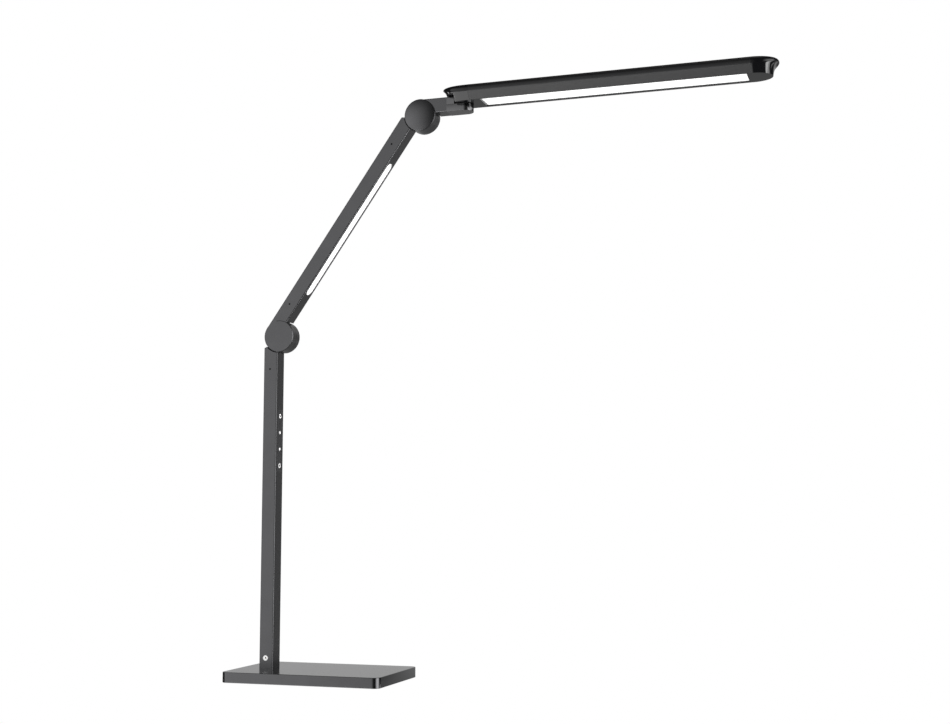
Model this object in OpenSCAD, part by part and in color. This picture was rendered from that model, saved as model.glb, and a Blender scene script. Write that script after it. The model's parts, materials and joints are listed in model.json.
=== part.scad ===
// Folding LED desk lamp: a heavy base with a square post, a swing arm that carries a light strip,
// a short neck and a long light head.
// Two offset friction elbows and a swivel under the head join the members. The elbow's axis stands
// beside the tubes, so a folded member lies next to its neighbour.
// The origin is the middle of the base's underside, +X is the way the head reaches, +Z is up.

/* [Base] */
// Length of the base plate along the lamp's reach
base_l = 200; // [160:1:260]
// Depth of the base plate
base_d = 128; // [100:1:180]
// Height of the plate's upper face above the table
base_h = 12.8; // [9:0.1:20]
// Radius of the plate's upright corners
base_corner_r = 8.4; // [3:0.1:15]
// Chamfer along the plate's upper and lower edges
base_chamfer = 0.6; // [0.3:0.1:1]
// Thickness of the anti-slip pad
pad_t = 1.6; // [1:0.1:3]
// Height by which the pad stands out under the plate
pad_proud = 0.5; // [0.3:0.1:1]
// Distance from the plate's edge to the pad
pad_inset = 6; // [4:0.5:12]

/* [Tubes] */
// Width of the square tubes, in the plane in which the lamp folds
tube_w = 18; // [16:0.5:24]
// Depth of the tubes, along the elbows' axes
tube_d = 20; // [19:0.5:26]
// Wall of the tubes
tube_wall = 1.5; // [1.2:0.1:2]
// Radius of the tubes' long edges
tube_edge_r = 1.2; // [0.6:0.1:1.4]

/* [Post] */
// Distance from the plate's left edge to the middle of the post
post_inset = 32.6; // [25:0.1:60]
// Height of the lower elbow's axis above the table
elbow_h = 415.7; // [340:0.1:500]
// Distance from the lower elbow's axis down to the middle of the touch controls
touch_drop = 128.7; // [105:0.1:200]
// Length of the touch panel
touch_l = 77; // [72:1:90]
// Width of the touch panel
touch_w = 15; // [12:0.5:16]
// Distance between two touch controls
touch_pitch = 20.3; // [16:0.1:22]
// Diameter of a ring-shaped touch symbol
ring_d = 5.6; // [4:0.1:8]
// Diameter of a dot-shaped touch symbol
dot_d = 3.8; // [2:0.1:5]
// Height of the power inlet above the table
inlet_h = 24.8; // [22:0.1:40]
// Outer diameter of the inlet's ring
inlet_ring_d = 6.2; // [5:0.1:10]
// Bore of the power inlet
inlet_bore_d = 2.5; // [2.4:0.1:4]
// Diameter of the inlet's centre pin
inlet_pin_d = 0.7; // [0.6:0.1:1.7]

/* [Arm] */
// Length of the arm from elbow axis to elbow axis
arm_l = 321.5; // [260:0.5:420]
// Lean of the arm from the upright
arm_lean = 35; // [20:1:60]
// Distance from the lower elbow's axis to the start of the arm light
strip_start = 61; // [56:0.5:80]
// Distance from the end of the arm light to the upper elbow's axis
strip_end = 68.5; // [57:0.5:90]
// Width of the arm light
strip_w = 13.8; // [8:0.1:15]
// Depth of the arm light's cover below the tube's face
strip_recess = 1.1; // [0.2:0.1:1.2]

/* [Elbows] */
// Radius of the elbow discs
disc_r = 19.4; // [18:0.1:24]
// Running gap between a disc and the tube end cut round it
disc_gap = 1.2; // [0.6:0.1:2]
// Gap between the two discs of an elbow
disc_split = 0.3; // [0.2:0.05:0.6]
// Distance from an elbow's axis to the square end of a tube
tube_end = 13.5; // [12:0.1:16]
// Distance by which a knuckle's stem stops short of the arm light
stem_clear = 5.5; // [4:0.5:6]
// Play of a stem in its tube, each side
stem_fit = 0.1; // [0.05:0.01:0.2]
// Distance from an elbow's axis to the set screw of a knuckle
set_back = 40.4; // [30:0.1:50]
// The same distance at the arm's upper end
set_back_top = 48; // [30:0.1:52]
// Diameter of a set screw's head
set_head_d = 2.2; // [1.8:0.1:4]
// Radius of a tube's corner where its end is cut round a disc
tip_r = 2; // [1:0.1:3]
// Diameter of the pivot screws' shoulder
pivot_d = 8; // [6:0.1:9]
// Radial running clearance of a shoulder in its bush
running = 0.05; // [0.02:0.01:0.1]
// Height of the rim of the round cover on the upper elbow
cover_proud = 1.6; // [1:0.1:4]
// Height of the cover's domed crown above its rim
cover_dome = 2.8; // [0.5:0.1:4]

/* [Neck] */
// Distance from the upper elbow's axis to the seam of the swivel bracket
neck_l = 34; // [30:0.5:60]
// Distance from that seam to the step of the bracket
bracket_step = 9.6; // [8:0.1:16]
// Distance from the step to the swivel axis
step_to_swivel = 11.4; // [11:0.1:14]
// Height of the step from the bracket's low tongue up to the neck's upper face
step_h = 9.2; // [8:0.1:10.2]
// Gap between the tongue and the head, filled by the friction washer
swivel_gap = 0.6; // [0.4:0.1:2]
// Diameter of the swivel screw's shoulder
swivel_d = 7; // [5:0.1:8]
// Distance from the swivel axis within which the head's end cap is cut back
pocket_r = 16.6; // [15.4:0.1:17]

/* [Head] */
// Length of the head over its end caps
head_l = 400; // [300:1:520]
// Distance from the swivel axis to the back end of the head
head_back = 26.8; // [25.5:0.1:27.5]
// Greatest width of the head
head_w = 50; // [46:0.5:60]
// Width of the head's flat underside
head_bottom_w = 35.5; // [33:0.5:38]
// Height of the head
head_h = 18.5; // [18:0.1:24]
// Radius of the head's shoulders
shoulder_r = 6.5; // [5:0.1:7.5]
// Wall of the head shell
shell_wall = 1.6; // [1.2:0.1:2]
// Length of the end cap at the swivel
cap_back_l = 37.1; // [37:0.1:45]
// Length of the end cap at the free end
cap_front_l = 29.4; // [24:0.1:40]
// Distance from the back cap's seam to the start of the light
window_back = 13; // [8:0.5:20]
// Distance from the end of the light to the front cap's seam
window_front = 5.7; // [4:0.1:20]
// Depth of the light's cover inside the head's lower rims
head_recess = 2.2; // [1:0.1:3]
// Width of a lower rim
rim_w = 1.2; // [0.8:0.1:2]

/* [Hidden] */

$fn = 48;
tiny = 0.02;                                // fit of pieces that are fixed to each other
over = 1;                                   // how far a cutting tool runs past the face it cuts

post_x = -base_l / 2 + post_inset;
axis_off = disc_r - tube_w / 2;             // from a tube's middle to its elbow axis
elbow1 = [post_x + axis_off, 0, elbow_h];
elbow2 = elbow1 + arm_l * [sin(arm_lean), 0, cos(arm_lean)];
near_y = -tube_d / 2;
half_split = disc_split / 2;
hole_shift = 0.7;                           // set screws and inlet: distance off the tube's middle
bore_r = 0.5;                               // corners of a tube's bore
inside = tube_wall + stem_fit;              // from a tube's face to what sits in the tube
stem_r = 0.6;                               // edges of what sits in a tube
stem_l = min(strip_start, strip_end) - stem_clear - tube_end;
strip_l = arm_l - strip_start - strip_end;
touch_h = elbow_h - touch_drop;

neck_lean = 90;
tongue_h = tube_w - step_h;
neck_bottom = elbow2[2] + disc_r - tube_w;
swivel_x = elbow2[0] + neck_l + bracket_step + step_to_swivel;
head_z = neck_bottom + tongue_h + swivel_gap;

// Elbow hardware, measured from the split between the two discs
screw_well = 4.2;                           // depth at which the wells for the screw heads start
bush_wall = 1;
bush_flange_t = 0.8;
bush_flange_r = 7.6;
spring_t = 0.6;
spring_r = 7.4;
well_r = 8.6;
pivot_head_t = 2.4;
pivot_head_r = 7.2;
plug_t = 1.2;
thread_r = 3;
thread_l = 7.6;
washer_t = 0.9;
washer_r = [6.2, 12];
disc_rim = 0.5;
groove_r = [13.4, 17];                      // ring-shaped channel for the wires between the discs
groove_t = 2.4;
channel_r = 2.2;                            // channel for the wires along a stem
lead_r = 1.5;
channel_y = 5.2;
channel_x = 4.4 - axis_off;                 // beside the set screw
cross_z = sqrt(pow((groove_r[0] + groove_r[1]) / 2, 2) - pow(channel_x, 2));
set_thread_r = 0.85;
set_l = 5;
set_sink = 0.25;                            // from a tube's face down to the face of a set screw

// Foot block, touch controls, power inlet
foot_pitch = 9;
foot_screw_r = 2;
foot_head_r = 3.6;
foot_head_t = 3;
foot_h = 26;
foot_screw_top = base_h + 5.8;
touch_y = 1.1;                              // the symbols sit this far off the panel's middle
symbol_l = tube_wall + 1.2 - 0.08;
ring_line = 1.3;
ring_depth = 1;
board_t = 1.2;
inlet_body_r = 4;
inlet_body_l = 8;
lead_x = elbow1[0] + channel_x;
spring_z = screw_well + bush_flange_t;
head_seat_z = spring_z + 2 * spring_t;

// Arm light, measured below the tube's face
strip_leg = 3.2;
strip_board_t = 1;
arm_led_pitch = 9.8;
led_h = 0.8;
board_depth = tube_wall + 1.2 + strip_leg;

// Swivel, measured up from the neck's underside
spigot_z = disc_r + disc_gap + 1.4;         // where the bracket's spigot starts, from the elbow axis
bracket_screw_z = (spigot_z + neck_l) / 2;
swivel_plug_t = 1.2;
swivel_head_z = 1.5;
swivel_head_r = 5.5;
swivel_spring_z = 3.7;
swivel_floor = 4.5;
swivel_thread_r = 2.5;
swivel_thread_l = 9.5;
wire_back = 16.2;                           // from the swivel axis back to the wire hole

// Head section: a flat underside, sloping walls tangent to the shoulder arcs, a flat top
half_bottom = head_bottom_w / 2;
shoulder = [head_w / 2 - shoulder_r, head_h - shoulder_r];
slope = atan2(shoulder[1], shoulder[0] - half_bottom)
    - asin(shoulder_r / norm([shoulder[0] - half_bottom, shoulder[1]]));
back_seam = cap_back_l - head_back;
front_seam = head_l - head_back - cap_front_l;
boss_r = min(10.2, back_seam - 0.1);
light_x0 = back_seam + window_back;
light_x1 = front_seam - window_front;
rim_h = head_recess;
cover_t = 2;
web_z = 9.5;
web_t = 1.5;
web_half = head_w / 2 - 1.2;
led_board_t = 1.2;
flange_z = step_h - swivel_gap + 0.64;      // underside of the back cap where it reaches over the neck
pocket_x = 8.8;                             // from the swivel axis back to the pocket's face
block_x = [-14, 45];
block_half = 11;
block_top = 16.5;
block_screw = [17, 8];
driver_x = [64, 200];
head_wire = [light_x0 + 6, 13.5];

// End caps: a nose with a tighter shoulder, its foot set back under the tip
nose_r = 3.4;
nose_under = 7;

// ---------- shared shapes ----------

// A rectangle about the origin with rounded corners
module rounded_rect(size, r) {
    square([size[0] - 2 * r, size[1]], center = true);
    square([size[0], size[1] - 2 * r], center = true);
    for (x = [-1, 1], y = [-1, 1])
        translate([x * (size[0] / 2 - r), y * (size[1] / 2 - r)]) circle(r = r);
}

// A slot outline of a given overall length along Y and width along X
module slot_2d(l, w) {
    square([w, l - w], center = true);
    for (s = [-1, 1]) translate([0, s * (l - w) / 2]) circle(r = w / 2);
}

// A cylinder along Y between two distances from the split, on side s
module disc_y(s, r, t0, t1) {
    rotate([s > 0 ? -90 : 90, 0, 0]) translate([0, 0, t0]) cylinder(r = r, h = t1 - t0);
}

// A ring along Y between two distances from the split, on side s
module ring_y(s, r_out, r_in, t0, t1) {
    difference() {
        disc_y(s, r_out, t0, t1);
        disc_y(s, r_in, t0 - over, t1 + over);
    }
}

// Puts a member's own frame in the lamp: its elbow axis at the origin, its length along +Z
module in_post() translate(elbow1) mirror([0, 0, 1]) children();
module in_arm() translate(elbow1) rotate([0, arm_lean, 0]) children();
module in_arm_top() translate(elbow2) rotate([0, arm_lean, 0]) mirror([0, 0, 1]) children();
module in_neck() translate(elbow2) rotate([0, neck_lean, 0]) children();
module in_head() translate([swivel_x, 0, head_z]) children();

// ---------- elbow ----------

// Room that a tube leaves for the disc of its own knuckle, on side s
module own_disc(s) disc_y(s, disc_r + tiny, -half_split, tube_d / 2 + over);

// The full outline of a member between two distances from the elbow axis
module member_block(z0, z1, inset = 0, r = tube_edge_r) {
    translate([-axis_off, 0, z0]) linear_extrude(z1 - z0)
        rounded_rect([tube_w - 2 * inset, tube_d - 2 * inset], r);
}

// Room that a member leaves for the other member's disc, on side s
module disc_room(s) {
    disc_y(s, disc_r + disc_gap, -half_split, tube_d / 2 + over);
}

// Rounds the outer corner of a tube's end beside the room for the other member's disc, on side s
module tip_cut(s) {
    corner = [-axis_off - tube_w / 2, 0, tube_end];
    translate(corner) difference() {
        translate([-over, s > 0 ? -half_split : half_split - tube_d, -over])
            cube([tip_r + over, tube_d, tip_r + over]);
        translate([tip_r, 0, tip_r]) rotate([90, 0, 0])
            cylinder(r = tip_r, h = 3 * tube_d, center = true);
    }
}

// Half of an elbow on side s: a disc and the block that joins it to the member's end, with the
// ring-shaped groove and the channel for the wires; the children are the member's continuation
module elbow_half(s) {
    difference() {
        union() {
            disc_y(s, disc_r, half_split, tube_d / 2 - disc_rim);
            rotate([s > 0 ? -90 : 90, 0, 0]) translate([0, 0, tube_d / 2 - disc_rim])
                cylinder(r1 = disc_r, r2 = disc_r - disc_rim, h = disc_rim);
            intersection() {
                member_block(0, tube_end);
                translate([0, s * (half_split + tube_d / 2), 0])
                    cube([4 * disc_r, tube_d, 4 * disc_r], center = true);
            }
            children();
        }
        disc_room(-s);
        ring_y(s, groove_r[1], groove_r[0], 0, half_split + groove_t);
        translate([channel_x, s * channel_y, cross_z - channel_r])
            cylinder(r = channel_r, h = stem_l + tube_end);
        translate([channel_x, 0, cross_z]) disc_y(s, channel_r, groove_t - over, channel_y);
    }
}

// The stem by which a knuckle sits in its tube
module stem() {
    member_block(tube_end - over, tube_end + stem_l, inside, stem_r);
}

// Threaded hole of a set screw in a stem
module set_thread(z) {
    translate([-axis_off - hole_shift, near_y + tube_wall - over, z]) rotate([-90, 0, 0])
        cylinder(r = set_thread_r + tiny, h = set_l + over);
}

// Cuts for the screw's head, the bush and the friction washer, on side s
module holding_cuts(s) {
    disc_y(s, pivot_d / 2 + running + bush_wall, 0, tube_d);
    disc_y(s, well_r, screw_well, tube_d);
    ring_y(s, washer_r[1] + tiny, washer_r[0] - tiny, 0, washer_t - half_split);
}

// Cut for the screw's thread, on side s
module driven_cut(s) disc_y(s, thread_r + tiny, 0, thread_l + half_split + 0.4);

module elbow_bush(s) {
    r_in = pivot_d / 2 + running;
    ring_y(s, r_in + bush_wall - tiny, r_in, half_split + tiny, screw_well + tiny);
    ring_y(s, bush_flange_r, r_in, screw_well + tiny, spring_z);
}

module elbow_washer(s) {
    ring_y(s, washer_r[1], washer_r[0], -half_split + 0.05, washer_t - half_split - tiny);
}

// Two dished spring washers, back to back
module elbow_springs(s) {
    dish = 0.25;
    bore = pivot_d / 2 + 0.2;
    for (i = [0, 1])
        rotate([s > 0 ? -90 : 90, 0, 0]) translate([0, 0, spring_z + (i == 0 ? tiny : 2 * spring_t)])
            mirror([0, 0, i]) rotate_extrude()
                polygon([[bore, dish], [spring_r, 0], [spring_r, spring_t - dish - tiny],
                         [bore, spring_t - 2 * tiny]]);
}

module elbow_screw(s) {
    socket_d = 5;
    difference() {
        union() {
            disc_y(s, pivot_head_r, head_seat_z + tiny, head_seat_z + pivot_head_t);
            disc_y(s, pivot_d / 2, -half_split + tiny, head_seat_z + 2 * tiny);
            disc_y(s, thread_r, -half_split - thread_l, 0);
        }
        rotate([s > 0 ? -90 : 90, 0, 0]) translate([0, 0, head_seat_z + 0.9])
            cylinder(d = socket_d, h = pivot_head_t, $fn = 6);
    }
}

// ---------- base ----------

module base_plate() color([0.18, 0.18, 0.19]) {
    z0 = pad_proud;
    c = base_chamfer;
    difference() {
        union() {
            translate([0, 0, z0 + c]) linear_extrude(base_h - z0 - 2 * c)
                rounded_rect([base_l, base_d], base_corner_r);
            for (side = [0, 1]) translate([0, 0, side * (base_h + z0)]) mirror([0, 0, side])
                chamfer_slab(z0, c);
        }
        // recess of the pad
        translate([0, 0, -over]) linear_extrude(pad_t + over)
            rounded_rect([base_l - 2 * pad_inset + 0.2, base_d - 2 * pad_inset + 0.2], base_corner_r);
        // holes and wells of the foot screws
        for (y = [-1, 1]) translate([post_x, y * foot_pitch / 2, 0]) {
            cylinder(r = foot_screw_r + 0.25, h = base_h + over);
            cylinder(r = foot_head_r + 0.3, h = pad_t + foot_head_t + 0.4);
        }
    }
}

// The chamfered edge layer of the plate: corner cones joined by bevelled bars
module chamfer_slab(z0, c) {
    l = base_l / 2 - base_corner_r;
    d = base_d / 2 - base_corner_r;
    r = base_corner_r;
    for (x = [-1, 1], y = [-1, 1]) translate([x * l, y * d, z0])
        cylinder(r1 = r - c, r2 = r, h = c);
    translate([-l, 0, z0]) rotate([90, 0, 90]) linear_extrude(2 * l)
        polygon([[-d - r + c, 0], [d + r - c, 0], [d + r, c], [-d - r, c]]);
    translate([0, d, z0]) rotate([90, 0, 0]) linear_extrude(2 * d)
        polygon([[-l - r + c, 0], [l + r - c, 0], [l + r, c], [-l - r, c]]);
}

module base_pad() color([0.05, 0.05, 0.05])
    linear_extrude(pad_t) rounded_rect([base_l - 2 * pad_inset, base_d - 2 * pad_inset], base_corner_r);

module post_foot() color([0.55, 0.55, 0.57])
    difference() {
        translate([post_x, 0, base_h]) linear_extrude(foot_h)
            rounded_rect([tube_w - 2 * inside, tube_d - 2 * inside], stem_r);
        for (y = [-1, 1]) translate([post_x, y * foot_pitch / 2, 0])
            cylinder(r = foot_screw_r + tiny, h = foot_screw_top + 0.6);
        // room for the power inlet
        at_inlet() cylinder(r = inlet_body_r + 0.2, h = inlet_body_l + tube_wall + 0.4);
        // way for the wires
        post_lead_path(channel_r);
        translate([lead_x, channel_y, inlet_h]) cylinder(r = channel_r, h = foot_h);
    }

// Wire from the inlet round to the post's wire channel
module post_lead_path(r) {
    y0 = near_y + tube_wall + inlet_body_l + 0.3;
    x0 = post_x - hole_shift;
    translate([x0, y0, inlet_h]) rotate([-90, 0, 0]) cylinder(r = r, h = channel_y - y0);
    translate([x0, channel_y, inlet_h]) sphere(r = r);
    translate([x0, channel_y, inlet_h]) rotate([0, 90, 0]) cylinder(r = r, h = lead_x - x0);
    translate([lead_x, channel_y, inlet_h]) sphere(r = r);
}

module foot_screws() color([0.5, 0.5, 0.52])
    for (y = [-1, 1]) translate([post_x, y * foot_pitch / 2, pad_t + 0.4]) difference() {
        union() {
            cylinder(r = foot_head_r, h = foot_head_t);
            cylinder(r = foot_screw_r, h = foot_screw_top - pad_t - 0.4);
        }
        translate([0, 0, -over]) cylinder(d = 3, h = over + 1.8, $fn = 6);
    }

// ---------- post ----------

module post_tube() color([0.2, 0.2, 0.21])
    difference() {
        translate([post_x, 0, base_h]) linear_extrude(elbow_h - tube_end - base_h) difference() {
            rounded_rect([tube_w, tube_d], tube_edge_r);
            rounded_rect([tube_w - 2 * tube_wall, tube_d - 2 * tube_wall], bore_r);
        }
        in_post() {
            disc_room(-1);
            tip_cut(-1);
            own_disc(1);
            set_hole(set_back);
        }
        translate([post_x - hole_shift, near_y, inlet_h]) rotate([-90, 0, 0])
            translate([0, 0, -over]) cylinder(d = inlet_ring_d + 0.1, h = tube_wall + 2 * over);
        translate([post_x + tube_w / 2 - tube_wall - over, 0, touch_h]) rotate([90, 0, 90])
            linear_extrude(tube_wall + 2 * over) rounded_rect([touch_w, touch_l], 1);
    }

// Clearance hole of a set screw through the tube's near wall, in a member's frame
module set_hole(z) {
    translate([-axis_off - hole_shift, near_y, z]) rotate([-90, 0, 0])
        translate([0, 0, -over]) cylinder(d = set_head_d + 0.1, h = tube_wall + over + 2 * tiny);
}

module touch_panel() color([0.08, 0.08, 0.085]) {
    // dark middles of the ring-shaped symbols
    for (i = [0, 3]) touch_place(i) translate([0, 0, symbol_l - ring_depth + tiny])
        cylinder(d = ring_d - 2 * ring_line - 2 * tiny, h = ring_depth - 2 * tiny);
    difference() {
        union() {
            panel_plate(touch_w - 0.1, touch_l - 0.1, 0.1, tube_wall + 0.1);
            panel_plate(touch_w + 1.2, touch_l + 4, tube_wall + 0.02, tube_wall + 1);
        }
        for (i = [0:3]) touch_place(i)
            cylinder(d = (symbol_is_ring(i) ? ring_d : dot_d) + 2 * tiny, h = symbol_l + over);
    }
}

// A plate parallel to the post's right face between two depths below it
module panel_plate(w, l, t0, t1) {
    translate([post_x + tube_w / 2 - t1, 0, touch_h]) rotate([90, 0, 90])
        linear_extrude(t1 - t0) rounded_rect([w, l], 0.9);
}

function symbol_is_ring(i) = i == 0 || i == 3;

// Place of a touch symbol: its axis along +X, starting on the light board's face
module touch_place(i) {
    translate([post_x + tube_w / 2 - tube_wall - 1.2, touch_y, touch_h + (i - 1.5) * touch_pitch])
        rotate([0, 90, 0]) children();
}
module touch_symbols() color("white")
    for (i = [0:3]) touch_place(i)
        if (symbol_is_ring(i)) difference() {
            cylinder(d = ring_d, h = symbol_l);
            translate([0, 0, symbol_l - ring_depth])
                cylinder(d = ring_d - 2 * ring_line, h = 2 * ring_depth);
        }
        else cylinder(d = dot_d, h = symbol_l);

module touch_board() color([0.05, 0.3, 0.12]) {
    w = touch_w - 0.6;
    panel_plate(w, touch_l + 2, tube_wall + 2, tube_wall + 2 + board_t);
    // rails that carry the board between the panel's back and the tube's walls
    for (y = [-1, 1]) translate([post_x + tube_w / 2 - tube_wall - 2.02, y * (w / 2 - 0.6), touch_h])
        translate([0, -0.5, -touch_l / 2]) cube([0.98, 1, touch_l]);
}

module symbol_leds() color([0.95, 0.9, 0.6])
    for (i = [0:3]) touch_place(i) translate([0, 0, -0.78])
        linear_extrude(0.7) square([1.6, 1.6], center = true);

// ---------- power inlet ----------

module at_inlet() translate([post_x - hole_shift, near_y, inlet_h]) rotate([-90, 0, 0]) children();

module inlet_ring() color("white") at_inlet()
    translate([0, 0, -0.3]) difference() {
        cylinder(d = inlet_ring_d, h = tube_wall + 0.3);
        translate([0, 0, -over]) cylinder(d = inlet_bore_d, h = tube_wall + 2 * over + 0.3);
    }

module inlet_body() color([0.06, 0.06, 0.06]) at_inlet()
    translate([0, 0, tube_wall + tiny]) difference() {
        cylinder(r = inlet_body_r, h = inlet_body_l);
        translate([0, 0, -over]) cylinder(d = inlet_bore_d, h = inlet_body_l - 1);
        translate([0, 0, -over]) cylinder(d = inlet_pin_d + 2 * tiny, h = inlet_body_l + 2 * over);
    }

module inlet_pin() color([0.75, 0.65, 0.35]) at_inlet()
    translate([0, 0, 1.2]) cylinder(d = inlet_pin_d, h = inlet_body_l + tube_wall - 1);

// Wires of the post: inlet to touch board, touch board to elbow
module post_leads() color([0.5, 0.05, 0.05]) {
    board_end = touch_l / 2 + 1 + tiny;
    top_z = elbow_h - cross_z;
    post_lead_path(lead_r);
    translate([lead_x, channel_y, inlet_h]) cylinder(r = lead_r, h = touch_h - board_end - inlet_h);
    translate([lead_x, channel_y, touch_h + board_end])
        cylinder(r = lead_r, h = top_z - touch_h - board_end);
    lead_end(elbow1, -1, 1);
}

// The end of a wire that turns from the channel into the groove, at an elbow
module lead_end(elbow, up, s) {
    translate(elbow + [channel_x, s * channel_y, up * cross_z]) sphere(r = lead_r);
    translate(elbow + [channel_x, 0, up * cross_z]) disc_y(s, lead_r, 0.6, channel_y);
}

module post_knuckle() color([0.2, 0.2, 0.21]) in_post() difference() {
    elbow_half(1) stem();
    holding_cuts(1);
    set_thread(set_back);
}

module post_set_screw() color([0.03, 0.03, 0.03]) in_post() set_screw(set_back);

// A small set screw, its face just below the tube's near face
module set_screw(z) {
    head_h = tube_wall - set_sink;
    translate([-axis_off - hole_shift, near_y + set_sink, z]) rotate([-90, 0, 0]) difference() {
        union() {
            cylinder(d = set_head_d, h = head_h);
            translate([0, 0, head_h - tiny]) cylinder(r = set_thread_r, h = set_l - 1);
        }
        translate([0, 0, -over]) cylinder(d = 1.3, h = over + 0.8, $fn = 6);
    }
}

module lower_bush() color([0.8, 0.7, 0.4]) in_elbow1() elbow_bush(1);
module lower_friction_washer() color([0.85, 0.82, 0.75]) in_elbow1() elbow_washer(1);
module lower_end_plug() color([0.04, 0.04, 0.04]) in_elbow1()
    disc_y(1, well_r - 0.05, tube_d / 2 - plug_t, tube_d / 2 - 0.1);
module in_elbow1() translate(elbow1) children();
module in_elbow2() translate(elbow2) children();

// ---------- arm ----------

module arm_tube() color([0.2, 0.2, 0.21])
    difference() {
        in_arm() difference() {
            member_block(tube_end, arm_l - tube_end);
            member_block(tube_end - over, arm_l - tube_end + over, tube_wall, bore_r);
            disc_room(1);
            tip_cut(1);
            own_disc(-1);
            set_hole(set_back);
            translate([0, 0, arm_l]) mirror([0, 0, 1]) set_hole(set_back_top);
            on_strip(tube_wall + over, -over) slot_2d(strip_l, strip_w);
        }
        in_arm_top() {
            disc_room(-1);
            tip_cut(-1);
            own_disc(1);
        }
    }

// Draws a flat shape on the arm's light face, between two depths below it: its length along the arm
module on_strip(t1, t0) {
    translate([tube_w - disc_r - t1, 0, strip_start + strip_l / 2]) rotate([90, 0, 90])
        linear_extrude(t1 - t0) children();
}

// U-shaped cover: a raised field in the slot, a flange behind the wall, and two legs down to the board
module arm_light_cover() color("white") in_arm() {
    flange = strip_w + 2;
    on_strip(tube_wall + 0.1, strip_recess) slot_2d(strip_l - 0.2, strip_w - 0.2);
    on_strip(tube_wall + 1.2, tube_wall + tiny) square([flange, strip_l + 4], center = true);
    for (s = [-1, 1]) on_strip(tube_wall + 1.2 + strip_leg, tube_wall + 1.1)
        translate([s * (flange / 2 - 0.6), 0]) square([1.2, strip_l + 4], center = true);
}

module arm_led_board() color([0.9, 0.9, 0.88]) in_arm()
    on_strip(board_depth + strip_board_t, board_depth + tiny)
        square([strip_w + 2, strip_l + 4], center = true);

module arm_leds() color([0.95, 0.85, 0.4]) in_arm() {
    side = floor((strip_l / 2 - 6) / arm_led_pitch);
    on_strip(board_depth, board_depth - led_h)
        for (i = [-side:side]) translate([0, i * arm_led_pitch]) square([2.8, 3.5], center = true);
}

// Wires at each end of the arm, from the elbow's groove to the light board
module arm_leads() color([0.5, 0.05, 0.05]) {
    end_gap = 2 + tiny;
    in_arm() arm_lead(-1, strip_start - end_gap);
    in_arm_top() arm_lead(1, strip_end - end_gap);
}

module arm_lead(s, z) {
    translate([channel_x, s * channel_y, cross_z]) cylinder(r = lead_r, h = z - cross_z);
    lead_end([0, 0, 0], 1, s);
}

module arm_lower_knuckle() color([0.2, 0.2, 0.21]) in_arm() difference() {
    elbow_half(-1) stem();
    driven_cut(-1);
    set_thread(set_back);
}

module arm_upper_knuckle() color([0.2, 0.2, 0.21]) in_arm_top() difference() {
    elbow_half(1) stem();
    driven_cut(1);
    set_thread(set_back_top);
}

module arm_set_screws() color([0.03, 0.03, 0.03]) {
    in_arm() set_screw(set_back);
    in_arm_top() set_screw(set_back_top);
}
module lower_pivot_screw() color([0.6, 0.6, 0.62]) in_elbow1() elbow_screw(1);
module lower_spring_washers() color([0.5, 0.5, 0.52]) in_elbow1() elbow_springs(1);
module upper_pivot_screw() color([0.6, 0.6, 0.62]) in_elbow2() elbow_screw(-1);
module upper_spring_washers() color([0.5, 0.5, 0.52]) in_elbow2() elbow_springs(-1);
module upper_friction_washer() color([0.85, 0.82, 0.75]) in_elbow2() elbow_washer(-1);

// ---------- neck and swivel ----------

module neck_knuckle() color([0.22, 0.22, 0.23]) in_neck() difference() {
    elbow_half(-1) {
        member_block(tube_end, spigot_z);
        // socket of the bracket's spigot
        difference() {
            member_block(spigot_z, neck_l);
            member_block(spigot_z - over, neck_l + over, tube_wall, bore_r);
        }
    }
    holding_cuts(-1);
    bracket_screw_holes(0.1);
}

// Holes for the two countersunk screws that hold the bracket, from the neck's upper face
module bracket_screw_holes(play) {
    for (y = [-1, 1]) at_bracket_screw(y) {
        cylinder(r1 = 2.3 + play, r2 = 1.2 + play, h = 1.1);
        cylinder(r = 1.2 + play, h = 6);
        translate([0, 0, -over]) cylinder(r = 2.3 + play, h = over + tiny);
    }
}
module at_bracket_screw(y) {
    translate([-axis_off - tube_w / 2, y * 4.5, bracket_screw_z]) rotate([0, 90, 0]) children();
}

module bracket_screws() color([0.12, 0.12, 0.12]) in_neck()
    for (y = [-1, 1]) at_bracket_screw(y) difference() {
        union() {
            translate([0, 0, 0.1]) cylinder(r1 = 2.3, r2 = 1.2, h = 1.1);
            translate([0, 0, 0.1]) cylinder(r = 1.18, h = 5.5);
        }
        cylinder(d = 1.6, h = 1, $fn = 6);
    }

module swivel_bracket() color([0.03, 0.03, 0.03]) {
    step_x = swivel_x - step_to_swivel;
    difference() {
        union() {
            in_neck() {
                member_block(spigot_z + 0.2, neck_l + over, inside, stem_r);
                member_block(neck_l + tiny, neck_l + bracket_step + step_to_swivel);
            }
            at_swivel(0) rotate_extrude() {
                square([tube_d / 2 - tube_edge_r, tongue_h]);
                translate([0, tube_edge_r]) square([tube_d / 2, tongue_h - tube_edge_r]);
                translate([tube_d / 2 - tube_edge_r, tube_edge_r]) circle(r = tube_edge_r);
            }
        }
        translate([step_x, -tube_d, neck_bottom + tongue_h]) cube([2 * tube_d, 2 * tube_d, tube_w]);
        at_swivel(-over) cylinder(r = swivel_d / 2 + running, h = tube_w);
        at_swivel(-over) cylinder(r = swivel_head_r + 0.5, h = swivel_floor + over);
        neck_lead_path(channel_r, 1);
        in_neck() for (y = [-1, 1]) at_bracket_screw(y) cylinder(r = 1.2, h = 6);
    }
}

// Things about the swivel axis, at a height above the neck's underside
module at_swivel(z) translate([swivel_x, 0, neck_bottom + z]) children();

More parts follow.
